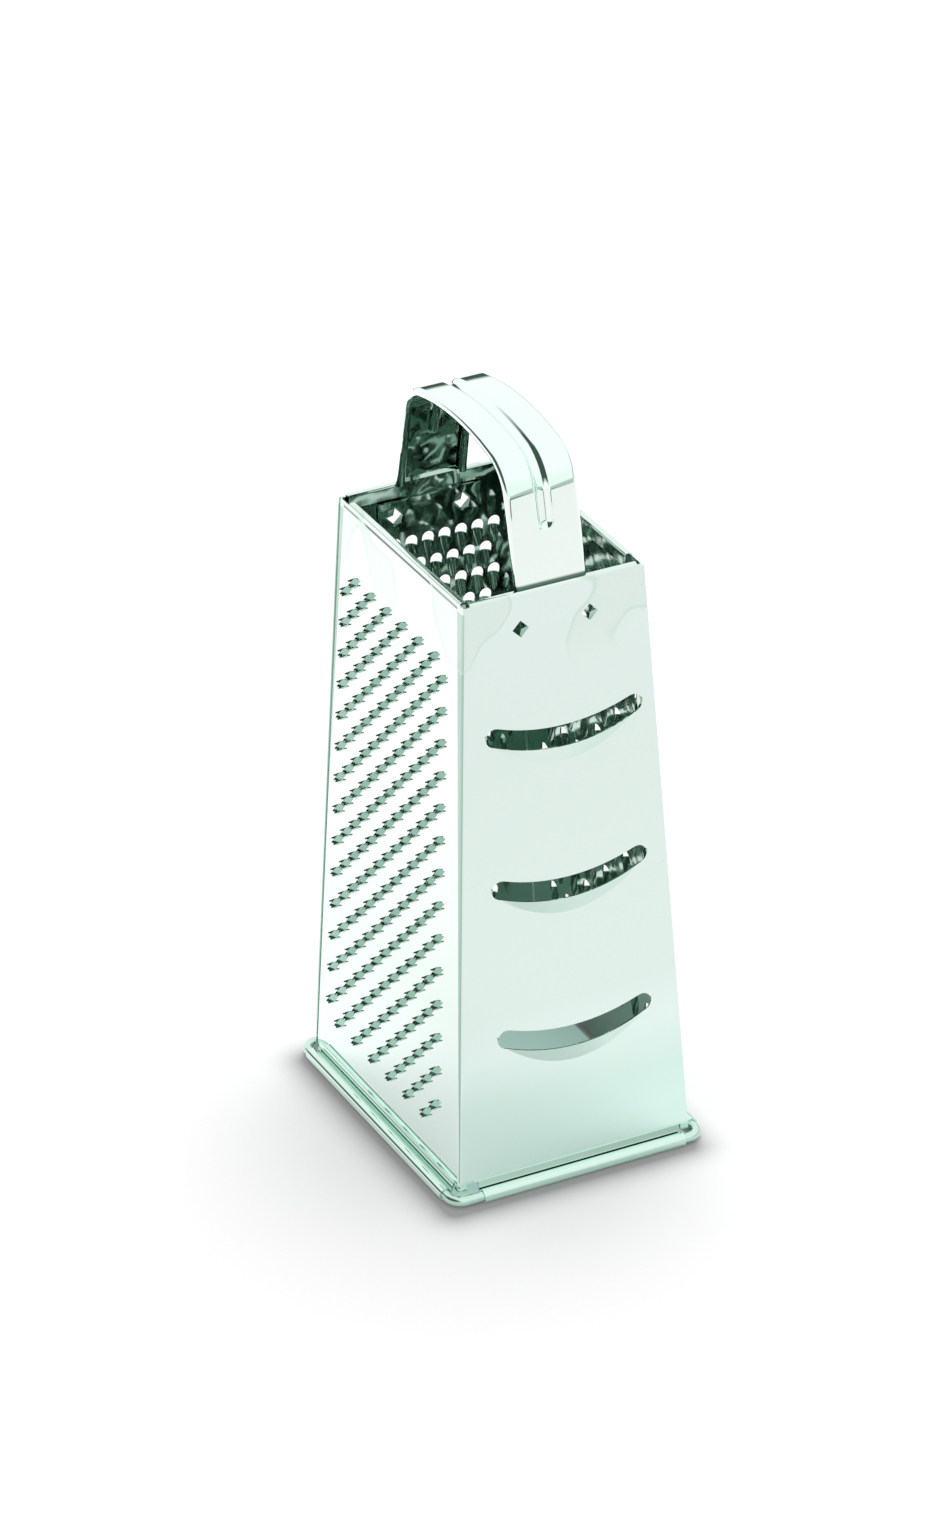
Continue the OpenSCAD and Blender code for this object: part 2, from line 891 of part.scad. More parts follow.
module foot() {
    hole = clinch_hole + 2*sheet + 2*seat_gap;
    difference() {
        intersection() {
            along_front(-foot_w, foot_w)
                foot_outline();
            rotate([90, 0, 0])
                linear_extrude(2*base_d, center = true)
                    foot_area();
        }
        on_narrow()
            each_clinch()
                cube([hole, hole, 4*hem_w], center = true);
    }
}

module handle() {
    color("steelblue") {
        sweep(strap_stations());
        foot();
        mirror([0, 1, 0])
            foot();
    }
}

// Wire ring in the base: four straight rods and four bent corners

module base_wire() {
    half_x = base_w/2 + wire_out;
    half_y = base_d/2 + wire_out;
    color("goldenrod")
        translate([0, 0, crease_z - wire_drop]) {
            for (side = [-1, 1]) {
                translate([0, side*half_y, 0])
                    rotate([0, 90, 0])
                        cylinder(d = wire_d, h = 2*(half_x - wire_bend), center = true);
                translate([side*half_x, 0, 0])
                    rotate([90, 0, 0])
                        cylinder(d = wire_d, h = 2*(half_y - wire_bend), center = true);
            }
            for (turn = [0, 1])
                for (side = [0, 1])
                    mirror([turn, 0, 0])
                        mirror([0, side, 0])
                            translate([half_x - wire_bend, half_y - wire_bend, 0])
                                rotate_extrude(angle = 90)
                                    translate([wire_bend, 0])
                                        circle(d = wire_d);
        }
}

front_shell();
rear_shell();
handle();
base_wire();
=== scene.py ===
# %% [markdown]
# A box grater of bright stainless sheet, seen from above on a white table.
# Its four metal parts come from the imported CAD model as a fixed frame, and this lesson leaves
# them where they are. It adds what the CAD model lacks: bends that shade smoothly, polished
# steel, a table, soft light and the photograph's camera.

# %% Load the frame
import math

import bpy
from mathutils import Matrix, Vector


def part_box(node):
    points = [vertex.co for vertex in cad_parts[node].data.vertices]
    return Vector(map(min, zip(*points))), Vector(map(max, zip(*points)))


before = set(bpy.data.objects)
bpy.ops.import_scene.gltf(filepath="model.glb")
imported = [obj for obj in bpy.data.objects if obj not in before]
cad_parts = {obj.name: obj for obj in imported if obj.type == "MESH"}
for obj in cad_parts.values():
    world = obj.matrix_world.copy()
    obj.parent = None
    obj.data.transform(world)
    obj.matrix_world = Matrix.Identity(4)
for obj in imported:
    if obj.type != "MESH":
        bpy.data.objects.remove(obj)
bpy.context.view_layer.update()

shells = [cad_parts[name] for name in ("front_shell", "rear_shell")]
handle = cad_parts["handle"]
base_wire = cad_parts["base_wire"]
parts = shells + [handle, base_wire]
print("CAD nodes:", [part.name for part in parts])

# %% [markdown]
# A camera is easiest to place round the middle of the object. The turn round the object, the
# height above it, the distance and the slight roll were found by fitting a pinhole camera to
# corners of the body in the photograph. The aim is a little left of and above that middle,
# which puts the grater a little right of and below the middle of the picture.

# %% Find where the camera stands
turn = math.radians(-26.45)
height = math.radians(29.22)
camera_distance = 2.107
body_middle = Vector((0.0, 0.0, 0.1004))

to_camera = Vector((
    math.sin(turn) * math.cos(height),
    -math.cos(turn) * math.cos(height),
    math.sin(height),
))
camera_place = body_middle + camera_distance * to_camera
print("camera stands at", [round(value, 3) for value in camera_place])

# %% Roll the camera and aim it
roll = math.radians(-1.04)
aim_left = 0.0067
aim_up = 0.0126

level_right = Vector((0, 0, 1)).cross(to_camera).normalized()
level_up = to_camera.cross(level_right)
right = math.cos(roll) * level_right + math.sin(roll) * level_up
up = math.cos(roll) * level_up - math.sin(roll) * level_right

aim = body_middle - aim_left * right + aim_up * up
back = (camera_place - aim).normalized()
right = up.cross(back).normalized()
up = back.cross(right)
print("camera looks at", [round(value, 4) for value in aim])

# %% Make the camera
lens_in_mm = 164.2
view_limit = 20

camera_data = bpy.data.cameras.new("photo_camera")
camera_data.lens = lens_in_mm
camera_data.clip_end = view_limit
camera = bpy.data.objects.new("photo_camera", camera_data)
camera.matrix_world = Matrix.Translation(camera_place) @ Matrix((right, up, back)).transposed().to_4x4()
bpy.context.scene.collection.objects.link(camera)
bpy.context.scene.camera = camera
print(f"camera {camera_distance} m away with a {lens_in_mm} mm lens")

# %% [markdown]
# The CAD mesh keeps each of its faces apart, so a bend of many narrow faces looks like a
# fluted column. A finer mesh would only make the flutes finer. Two things mend them and leave
# the shape as it is: welding the points that lie on each other, and shading smooth across
# every edge whose faces nearly agree. A small geometry node group does both, so one modifier
# serves every part.

# %% Make the smoothing group
weld_reach = 0.000002


def make_bend_smoother():
    tree = bpy.data.node_groups.new("smooth_bends", "GeometryNodeTree")
    tree.is_modifier = True
    tree.interface.new_socket("Geometry", in_out="INPUT", socket_type="NodeSocketGeometry")
    angle = tree.interface.new_socket("Sharp Angle", in_out="INPUT", socket_type="NodeSocketFloat")
    tree.interface.new_socket("Geometry", in_out="OUTPUT", socket_type="NodeSocketGeometry")
    start = tree.nodes.new("NodeGroupInput")
    end = tree.nodes.new("NodeGroupOutput")
    weld = tree.nodes.new("GeometryNodeMergeByDistance")
    weld.inputs["Distance"].default_value = weld_reach
    smooth_faces = tree.nodes.new("GeometryNodeSetShadeSmooth")
    smooth_faces.domain = "FACE"
    edge_angle = tree.nodes.new("GeometryNodeInputMeshEdgeAngle")
    is_sharp = tree.nodes.new("FunctionNodeCompare")
    sharp_edges = tree.nodes.new("GeometryNodeSetShadeSmooth")
    sharp_edges.domain = "EDGE"
    sharp_edges.inputs["Shade Smooth"].default_value = False
    link = tree.links.new
    link(start.outputs["Geometry"], weld.inputs["Geometry"])
    link(weld.outputs["Geometry"], smooth_faces.inputs["Geometry"])
    link(smooth_faces.outputs["Geometry"], sharp_edges.inputs["Geometry"])
    link(edge_angle.outputs["Unsigned Angle"], is_sharp.inputs["A"])
    link(start.outputs["Sharp Angle"], is_sharp.inputs["B"])
    link(is_sharp.outputs["Result"], sharp_edges.inputs["Selection"])
    link(sharp_edges.outputs["Geometry"], end.inputs["Geometry"])
    return tree, angle.identifier


bend_smoother, sharp_angle_socket = make_bend_smoother()
print("geometry group made:", bend_smoother.name)

# %% [markdown]
# How sharp is sharp? On the shells a small angle keeps the facets of burrs and teeth crisp.
# The rolled edges of the handle are meshed in steps of up to 40 degrees and have to look
# round, so the handle takes a large one. The wire has only fine steps and can share it.

# %% Smooth the bends of each part
crisp_degrees = 12
round_degrees = 40


def smooth_bends(piece, sharp_degrees):
    modifier = piece.modifiers.new("smooth_bends", "NODES")
    modifier.node_group = bend_smoother
    modifier[sharp_angle_socket] = math.radians(sharp_degrees)


for shell in shells:
    smooth_bends(shell, crisp_degrees)
for rounded in (handle, base_wire):
    smooth_bends(rounded, round_degrees)
print("bends smoothed on", len(parts), "nodes")

# %% [markdown]
# Smooth shading also tilts the normals of a flat side where it runs into a bend, and polished
# metal shows that as a false swirl. In the Weighted Normal modifier large faces count for
# more, so a flat side stays flat and its bend takes all of the turning. The wire is round
# everywhere and goes without.

# %% Keep the flat faces flat
sheet_parts = shells + [handle]
for sheet_part in sheet_parts:
    weighted = sheet_part.modifiers.new("flat_faces_stay_flat", "WEIGHTED_NORMAL")
    weighted.keep_sharp = True
print("flat faces kept flat on", len(sheet_parts), "nodes")

# %% [markdown]
# A shader is wired from many small nodes, and the wires soon hide what is being worked out.
# So a few helpers come first. The first one feeds a socket with a plain value or with the
# output of another node. The others start a group, place a group in a material, or add one
# sum, and give back what comes out of it.

# %% Helpers for groups and sums
def feed(tree, socket, value):
    if isinstance(value, bpy.types.NodeSocket):
        tree.links.new(value, socket)
    elif socket.type == "RGBA":
        socket.default_value = (*value, 1)
    else:
        socket.default_value = value


def new_group(name, inputs, outputs):
    tree = bpy.data.node_groups.new(name, "ShaderNodeTree")
    for socket_name, value in inputs.items():
        socket = tree.interface.new_socket(socket_name, in_out="INPUT", socket_type="NodeSocketFloat")
        socket.default_value = value
    for socket_name in outputs:
        tree.interface.new_socket(socket_name, in_out="OUTPUT", socket_type="NodeSocketFloat")
    given = tree.nodes.new("NodeGroupInput").outputs
    result = tree.nodes.new("NodeGroupOutput").inputs
    return tree, given, result


def place_group(tree, group, **values):
    node = tree.nodes.new("ShaderNodeGroup")
    node.node_tree = group
    for name, value in values.items():
        feed(tree, node.inputs[name.replace("_", " ")], value)
    return node.outputs


def calculate(tree, operation, *values):
    step = tree.nodes.new("ShaderNodeMath")
    step.operation = operation
    for socket, value in zip(step.inputs, values):
        feed(tree, socket, value)
    return step.outputs[0]


print("helpers ready for groups and sums")

# %% [markdown]
# Bright sheet steel isn't a perfect mirror, and what is wrong with it makes it read as metal.
# Each effect that follows is a node group that puts out a value, so every steel can take it in
# its own measure. All use object coordinates, which stay with the part.
# First, rolled sheet is never quite flat, so reflections wander. The mesh could be dented, but
# that would change its size. A wide, low noise for the bump does it and leaves the mesh alone.

# %% Sheet that isn't quite flat
wave_scale = 20.0
wave_height = 0.0003
noise_middle = 0.5


def object_place(tree):
    return tree.nodes.new("ShaderNodeTexCoord").outputs["Object"]


def add_noise(tree, place, scale, detail, roughness=0.5):
    noise = tree.nodes.new("ShaderNodeTexNoise")
    feed(tree, noise.inputs["Vector"], place)
    feed(tree, noise.inputs["Scale"], scale)
    feed(tree, noise.inputs["Detail"], detail)
    feed(tree, noise.inputs["Roughness"], roughness)
    return noise.outputs["Fac"]


def make_sheet_wander():
    tree, given, result = new_group(
        "sheet_wander", {"Scale": wave_scale, "Height": wave_height}, ["Height"]
    )
    noise = add_noise(tree, object_place(tree), given["Scale"], detail=1.0)
    centred = calculate(tree, "SUBTRACT", noise, noise_middle)
    feed(tree, result["Height"], calculate(tree, "MULTIPLY", centred, given["Height"]))
    return tree


sheet_wander = make_sheet_wander()
print("group made:", sheet_wander.name)

# %% [markdown]
# Polishing leaves a fine grain that runs one way. A picture of scratches would repeat and show
# seams. Fine noise has neither, and squeezing its coordinates along Z draws it out into
# upright lines. It makes the roughness vary between a low and a high value.

# %% Fine polishing grain
polish_scale = 900.0
drawn_out = 0.03


def calculate_vector(tree, operation, *vectors):
    step = tree.nodes.new("ShaderNodeVectorMath")
    step.operation = operation
    for socket, vector in zip(step.inputs, vectors):
        feed(tree, socket, vector)
    gives_number = operation in ("DOT_PRODUCT", "LENGTH")
    return step.outputs["Value" if gives_number else "Vector"]


def join_axes(tree, x, y, z):
    joined = tree.nodes.new("ShaderNodeCombineXYZ")
    for socket, value in zip(joined.inputs, (x, y, z)):
        feed(tree, socket, value)
    return joined.outputs["Vector"]


def fade_between(tree, source, none_at, full_at, none=0.0, full=1.0):
    fade = tree.nodes.new("ShaderNodeMapRange")
    feed(tree, fade.inputs["Value"], source)
    feed(tree, fade.inputs["From Min"], none_at)
    feed(tree, fade.inputs["From Max"], full_at)
    feed(tree, fade.inputs["To Min"], none)
    feed(tree, fade.inputs["To Max"], full)
    return fade.outputs["Result"]


def make_polish_grain():
    tree, given, result = new_group(
        "polish_grain", {"Scale": polish_scale, "Along Z": drawn_out, "Low": 0.0, "High": 1.0}, ["Value"]
    )
    stretch = join_axes(tree, 1, 1, given["Along Z"])
    stretched = calculate_vector(tree, "MULTIPLY", object_place(tree), stretch)
    noise = add_noise(tree, stretched, given["Scale"], detail=3.0)
    spread = fade_between(tree, noise, 0, 1, none=given["Low"], full=given["High"])
    feed(tree, result["Value"], spread)
    return tree


polish_grain = make_polish_grain()
print("group made:", polish_grain.name)

# %% [markdown]
# Much on the grater depends on height: the curl at the base, the crease under the rim, the
# marks near the top. One group puts out a mask that fades from none at one height to full at
# another, and every such effect places it with its own two heights.

# %% A fade between two heights
def split_axes(tree, vector):
    axes = tree.nodes.new("ShaderNodeSeparateXYZ")
    feed(tree, axes.inputs["Vector"], vector)
    return axes.outputs


def make_height_fade():
    tree, given, result = new_group("height_fade", {"None At": 0.0, "Full At": 1.0}, ["Mask"])
    axes = split_axes(tree, object_place(tree))
    feed(tree, result["Mask"], fade_between(tree, axes["Z"], given["None At"], given["Full At"]))
    return tree


height_fade = make_height_fade()
print("group made:", height_fade.name)

# %% [markdown]
# Water that dried on the steel leaves faint islands with a thin edge. Painting them would need
# a picture for each part. A colour ramp on a smooth noise finds them instead: a narrow step is
# the edge, and what lies past it is the fainter inside. They show only near the top.

# %% Faint islands of dried water
black = (0, 0, 0)
white = (1, 1, 1)
island_scale = 28.0
island_start = 0.53
island_rim = 0.535
island_inside = 0.55
inside_strength = 0.3
marks_start = 0.168
marks_full = 0.182


def add_ramp(tree, source, stops):
    node = tree.nodes.new("ShaderNodeValToRGB")
    ramp = node.color_ramp
    first_position, first_colour = stops[0]
    ramp.elements.remove(ramp.elements[1])
    ramp.elements[0].position = first_position
    ramp.elements[0].color = (*first_colour, 1)
    for position, colour in stops[1:]:
        ramp.elements.new(position).color = (*colour, 1)
    feed(tree, node.inputs["Fac"], source)
    return node.outputs["Color"]


def make_water_marks():
    tree, given, result = new_group("water_marks", {"Scale": island_scale, "Amount": 1.0}, ["Mask"])
    noise = add_noise(tree, object_place(tree), given["Scale"], detail=2.0, roughness=0.35)
    inside_grey = (inside_strength, inside_strength, inside_strength)
    islands = add_ramp(tree, noise, [
        (island_start, black),
        (island_rim, white),
        (island_inside, inside_grey),
    ])
    near_rim = place_group(tree, height_fade, None_At=marks_start, Full_At=marks_full)["Mask"]
    scaled = calculate(tree, "MULTIPLY", islands, given["Amount"])
    feed(tree, result["Mask"], calculate(tree, "MULTIPLY", scaled, near_rim))
    return tree


water_marks = make_water_marks()
print("group made:", water_marks.name)

# %% [markdown]
# The outside of the grater is polished, while its inside gets little light, so the inside faces are
# painted darker, as painted shade. Two materials would need the faces sorted by hand. One can serve
# both: a face is inside when its normal points back at the middle, which is an upright line for the body
# and a point under the handle's arch. It has to point back clearly, so a face that looks sideways keeps
# the steel of the outside.

# %% Tell the inside from the outside
turned_back = -0.02


def make_inner_face():
    tree, given, result = new_group("inner_face", {"Middle Z": 0.0, "Upright Share": 0.0}, ["Mask"])
    surface = tree.nodes.new("ShaderNodeNewGeometry").outputs
    middle = join_axes(tree, 0, 0, given["Middle Z"])
    from_middle = calculate_vector(tree, "SUBTRACT", surface["Position"], middle)
    shares = join_axes(tree, 1, 1, given["Upright Share"])
    outwards = calculate_vector(tree, "MULTIPLY", from_middle, shares)
    agree = calculate_vector(tree, "DOT_PRODUCT", outwards, surface["Normal"])
    feed(tree, result["Mask"], calculate(tree, "LESS_THAN", agree, turned_back))
    return tree


inner_face = make_inner_face()
print("group made:", inner_face.name)

# %% [markdown]
# The walls of burrs, slots and teeth are painted darker than the smooth sides, as painted shade for the
# way they mirror each other. The fold of the rim also has a painted shade line under it on the two long
# sides. Both places can be told from shape alone. A wall is a face, between the curl and the hem, whose
# normal doesn't point squarely out of the side that it stands on. A long side is one that lies furthest
# out along X, once the width of the body is stretched to its depth.

# %% Measure the body
body_width = 0.078
body_depth = 0.099
curl_top = 0.0065
crease_below_rim = 0.0021
hem_below_rim = 0.003

rim_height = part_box("front_shell")[1][2]
crease_z = rim_height - crease_below_rim
hem_bottom = rim_height - hem_below_rim
print("rim at", round(rim_height, 4), "crease at", round(crease_z, 4))

# %% Tell walls from sides, and long sides from short ones
square_on = 0.8


def mix_values(tree, share, first, second):
    mix = tree.nodes.new("ShaderNodeMix")
    feed(tree, mix.inputs["Factor"], share)
    feed(tree, mix.inputs["A"], first)
    feed(tree, mix.inputs["B"], second)
    return mix.outputs["Result"]


def make_side_faces():
    tree, given, result = new_group("side_faces", {"Steepest": square_on}, ["Wall", "Long Side"])
    surface = tree.nodes.new("ShaderNodeNewGeometry").outputs
    place = split_axes(tree, surface["Position"])
    facing = split_axes(tree, surface["Normal"])
    far_x = calculate(tree, "ABSOLUTE", place["X"])
    far_y = calculate(tree, "ABSOLUTE", place["Y"])
    facing_x = calculate(tree, "ABSOLUTE", facing["X"])
    facing_y = calculate(tree, "ABSOLUTE", facing["Y"])
    stretched_x = calculate(tree, "MULTIPLY", far_x, body_depth / body_width)
    long_side = calculate(tree, "GREATER_THAN", stretched_x, far_y)

    facing_out = mix_values(tree, long_side, facing_y, facing_x)
    steep = calculate(tree, "LESS_THAN", facing_out, given["Steepest"])
    above_curl = calculate(tree, "GREATER_THAN", place["Z"], curl_top)
    below_hem = calculate(tree, "LESS_THAN", place["Z"], hem_bottom)
    between = calculate(tree, "MULTIPLY", above_curl, below_hem)
    feed(tree, result["Wall"], calculate(tree, "MULTIPLY", steep, between))
    feed(tree, result["Long Side"], long_side)
    return tree


side_faces = make_side_faces()
print("group made:", side_faces.name)

# %% Paint the shade line under the rim
crease_core = 0.0003
crease_edge = 0.0006


def add_crease(tree, long_side):
    crease = long_side
    for way in (-1, 1):
        fade = place_group(
            tree, height_fade,
            None_At=crease_z + way * crease_edge, Full_At=crease_z + way * crease_core,
        )
        crease = calculate(tree, "MULTIPLY", crease, fade["Mask"])
    return crease


print("line under the rim is", round(2 * crease_edge * 1000, 1), "mm wide")

# %% [markdown]
# Steel is a metal, so its colour is the colour of its reflections and its finish is mostly
# roughness. The studio of the photograph gives the steel a mint tint, which could come from
# coloured light. It is simpler to steer from the metal itself, so the steels are mint and the
# light stays white on the table. Dark tones stand for folds that light hardly enters.

# %% Name the tones of the steel
mint = (0.755, 0.86, 0.815)
# painted light: lighter, greener steel low down, for the table mirrored there
low_painted_light = (0.86, 1.0, 0.955)
# painted shade on the curl at the base
curl_painted_shade = (0.66, 0.84, 0.76)
pale_mark = (0.62, 0.76, 0.69)
# painted shade on the walls of burrs, slots and teeth
wall_painted_shade = (0.38, 0.54, 0.46)
# painted shade in the crease under the rim and at the handle's feet
groove_painted_shade = (0.10, 0.18, 0.14)
# painted shade on the inside faces
inside_painted_shade = (0.46, 0.62, 0.54)
wire_steel = (0.60, 0.79, 0.70)
strap_steel = (0.82, 0.95, 0.89)
print("steel tones named, bright is", mint)

# %% [markdown]
# One helper makes every steel here, so they stay alike. It lays tones over each other, each where its
# mask is full: painted light low down, lighter and greener, then painted shade on the curl at the base,
# on walls and in the crease, pale on water marks, and painted shade inside. The grain sets the
# roughness. The waves
# set the bump, and smaller ripples join them on the inside and on the walls. What is the same
# all over a surface is written on the shader itself.

# %% A helper for steel
low_start = 0.06
low_full = 0.015
# where the painted shade on the curl is full
curl_shade_full = 0.005
mark_roughness = 0.05
ripple_scale = 90.0


def mix_colours(tree, share, first, second, blend_type="MIX"):
    mix = tree.nodes.new("ShaderNodeMix")
    mix.data_type = "RGBA"
    mix.blend_type = blend_type
    feed(tree, mix.inputs["Factor"], share)
    feed(tree, mix.inputs["A"], first)
    feed(tree, mix.inputs["B"], second)
    return mix.outputs["Result"]


def make_steel(
    name, bright, low, curl, wall, dull, inner, low_rough, high_rough, grain_scale,
    wander, ripple, marks, upright, shade_none_at=curl_top, shade_full_at=curl_shade_full,
):
    material = bpy.data.materials.new(name)
    material.use_nodes = True
    tree = material.node_tree
    shader = tree.nodes["Principled BSDF"]
    shader.inputs["Metallic"].default_value = 1.0

    # painted light low down, then painted shade at the lowest edge, on walls, in the crease and inside
    lowness = place_group(tree, height_fade, None_At=low_start, Full_At=low_full)["Mask"]
    lowest_edge_shade = place_group(tree, height_fade, None_At=shade_none_at, Full_At=shade_full_at)["Mask"]
    sides = place_group(tree, side_faces)
    crease = add_crease(tree, sides["Long Side"])
    islands = place_group(tree, water_marks, Amount=marks)["Mask"]
    inside = place_group(tree, inner_face, Middle_Z=rim_height, Upright_Share=upright)["Mask"]

    colour = bright
    for mask, tone in (
        (lowness, low),
        (lowest_edge_shade, curl),
        (sides["Wall"], wall),
        (crease, groove_painted_shade),
        (islands, dull),
        (inside, inner),
    ):
        colour = mix_colours(tree, mask, colour, tone)
    feed(tree, shader.inputs["Base Color"], colour)

    grain = place_group(tree, polish_grain, Scale=grain_scale, Low=low_rough, High=high_rough)["Value"]
    roughness = calculate(tree, "MULTIPLY_ADD", islands, mark_roughness, grain)
    feed(tree, shader.inputs["Roughness"], roughness)

    waves = place_group(tree, sheet_wander, Height=wander)["Height"]
    ripples = place_group(tree, sheet_wander, Scale=ripple_scale, Height=ripple)["Height"]
    dented = calculate(tree, "MAXIMUM", inside, sides["Wall"])
    bump = tree.nodes.new("ShaderNodeBump")
    bump.inputs["Distance"].default_value = 1.0
    feed(tree, bump.inputs["Height"], calculate(tree, "MULTIPLY_ADD", dented, ripples, waves))
    feed(tree, shader.inputs["Normal"], bump.outputs["Normal"])
    return material


print("steel helper ready, ripples at scale", ripple_scale)

# %% Steel for the body
body_steel = make_steel(
    "body_steel",
    bright=mint, low=low_painted_light, curl=curl_painted_shade, wall=wall_painted_shade, dull=pale_mark, inner=inside_painted_shade,
    low_rough=0.04, high_rough=0.08, grain_scale=700,
    wander=wave_height, ripple=wave_height, marks=1.0, upright=0.0,
)
print("steel made:", body_steel.name)

# %% [markdown]
# The handle is brighter than the body and has painted shade where its feet go down behind the rim, so
# the two heights of that painted shade are moved up to the rim. The wire was drawn and not polished: it
# is rougher, has one colour all over and no marks.

# %% Steel for the handle and the wire
# painted shade where the handle's feet go down behind the rim
foot_shade_none_above_rim = 0.0014
foot_dark_above_rim = 0.0007

handle_steel = make_steel(
    "handle_steel",
    bright=strap_steel, low=strap_steel, curl=groove_painted_shade, wall=strap_steel, dull=pale_mark,
    inner=inside_painted_shade, low_rough=0.03, high_rough=0.06, grain_scale=polish_scale,
    wander=0.0004, ripple=wave_height, marks=0.0, upright=1.0,
    shade_none_at=rim_height + foot_shade_none_above_rim, shade_full_at=rim_height + foot_dark_above_rim,
)
drawn_wire = make_steel(
    "drawn_wire",
    bright=wire_steel, low=wire_steel, curl=wire_steel, wall=wire_steel, dull=pale_mark,
    inner=wire_steel, low_rough=0.18, high_rough=0.3, grain_scale=1200,
    wander=0.00005, ripple=0.0, marks=0.0, upright=0.0,
)
print("steel made:", handle_steel.name, "and", drawn_wire.name)

# %% Dress the parts
def dress(piece, material):
    piece.data.materials.clear()
    piece.data.materials.append(material)


for shell in shells:
    dress(shell, body_steel)
dress(handle, handle_steel)
dress(base_wire, drawn_wire)
print("dressed", len(parts), "nodes in steel")

# %% [markdown]
# Upright polished faces seen from above mirror the table, not the sky. So the table is a real
# diffuse plane whose own shading shows in the metal, darker where the body keeps light off it.
# Its material is worked out below one effect at a time. Light Path says which kind of ray has
# met the table, so one effect can be for mirrors, which send glossy rays, and another for the
# camera.

# %% Lay the table
table_size = 6.0

edge = table_size / 2
corners = [(-edge, -edge, 0), (edge, -edge, 0), (edge, edge, 0), (-edge, edge, 0)]
table_mesh = bpy.data.meshes.new("table")
table_mesh.from_pydata(corners, [], [(0, 1, 2, 3)])
table = bpy.data.objects.new("table", table_mesh)
bpy.context.scene.collection.objects.link(table)
print("table laid,", table_size, "m wide")

# %% [markdown]
# Low down, the slicing side mirrors the table just in front of it, and in the photograph the
# steel has a green shade there. A real screen would throw a shadow that the camera sees too.
# So the table itself has the shade, in a band of its colour that only mirrors see.

# %% Shade the table in front of the slicing side
table_paint = (0.88, 0.88, 0.88)
mirrored_shade = (0.74, 0.81, 0.78)
shade_start = 0.045
shade_near = 0.055
shade_far = 0.10
shade_end = 0.13


def shade_in_front(tree, axes, rays):
    in_front = calculate(tree, "MULTIPLY", axes["Y"], -1)
    shade = add_ramp(tree, in_front, [
        (shade_start, black),
        (shade_near, white),
        (shade_far, white),
        (shade_end, black),
    ])
    mirrored = calculate(tree, "MULTIPLY", shade, rays["Is Glossy Ray"])
    return mix_colours(tree, mirrored, table_paint, mirrored_shade)


print("mirrors see a shade from", shade_start, "to", shade_end, "m in front")

# %% [markdown]
# Where the body stands on the table a thin dark shade joins the two, or the grater would seem
# to float. The lift to white below would wash out the real one, so it is worked out for the
# camera from the distance to the rectangle of the foot, a little towards the camera, and is
# cubed to fall off quickly.

# %% Shade the foot for the camera
foot_shade = (0.40, 0.40, 0.40)
foot_shift = (0.003, 0.004, 0)
foot_size = (body_width / 2, body_depth / 2, 0)
foot_reach = 0.020
foot_core = 0.003


def light_at_the_foot(tree, place, rays):
    shifted = calculate_vector(tree, "ADD", place, foot_shift)
    from_middle = calculate_vector(tree, "ABSOLUTE", shifted)
    beyond = calculate_vector(tree, "SUBTRACT", from_middle, foot_size)
    outer = calculate_vector(tree, "MAXIMUM", beyond, (0, 0, 0))
    close = fade_between(tree, calculate_vector(tree, "LENGTH", outer), foot_reach, foot_core)
    squared = calculate(tree, "MULTIPLY", close, close)
    cubed = calculate(tree, "MULTIPLY", squared, close)
    seen = calculate(tree, "MULTIPLY", cubed, rays["Is Camera Ray"])
    return mix_colours(tree, seen, white, foot_shade)


print("shade at the foot reaches", foot_reach, "m")

# %% Tell the table inside the body from the table outside
foot_edge = 0.001


def outside_the_body(tree, axes):
    past_x, past_y = [
        fade_between(tree, calculate(tree, "ABSOLUTE", axes[axis]), side, side + foot_edge)
        for axis, side in (("X", body_width / 2), ("Y", body_depth / 2))
    ]
    return calculate(tree, "MAXIMUM", past_x, past_y)


print("table inside the body is", body_width, "by", body_depth, "m")

# %% [markdown]
# The photograph's table is almost white, with a soft pale shadow that fades with distance. So the camera
# sees the real table mixed with an even white light, more of it further out. Inside the body, where the
# table shows through the slots, both are painted with the green light that the steel round it throws.

# %% Lift the table to white for the camera
# painted green light from the steel on the table inside the body
inside_painted_green_light = (0.78, 1.0, 0.94)
inside_glow = (0.62, 0.95, 0.85)
inside_lift = 0.3
lift_start = -0.01
lift_full = 0.40
lift_strength = 1.15


def add_emission(tree, colour, strength):
    light = tree.nodes.new("ShaderNodeEmission")
    feed(tree, light.inputs["Color"], colour)
    feed(tree, light.inputs["Strength"], strength)
    return light.outputs["Emission"]


def lifted_table(tree, real, distance, outside, foot_light, rays):
    outside_lift = fade_between(tree, distance, lift_start, lift_full)
    lift = mix_values(tree, outside, inside_lift, outside_lift)
    seen = calculate(tree, "MULTIPLY", lift, rays["Is Camera Ray"])
    glow_colour = mix_colours(tree, outside, inside_glow, foot_light)
    mix = tree.nodes.new("ShaderNodeMixShader")
    feed(tree, mix.inputs["Fac"], seen)
    feed(tree, mix.inputs[1], real)
    feed(tree, mix.inputs[2], add_emission(tree, glow_colour, lift_strength))
    return mix.outputs["Shader"]


print("table is lifted to white", lift_full, "m from the middle")

# %% [markdown]
# The rasp side mirrors the table on the left behind the grater, and in the photograph that
# side is bright. So mirrors see the table glow over there, and far away all round. The glow is
# a little pink, which offsets the mint of the steel.

# %% Let the table glow for mirrors
glow_pink = (1.0, 0.76, 0.82)
behind_rasp = (-0.6, 0.8, 0)
behind_start = -0.06
behind_full = 0.25
behind_strength = 0.27
far_start = 0.35
far_full = 1.0
far_strength = 0.25


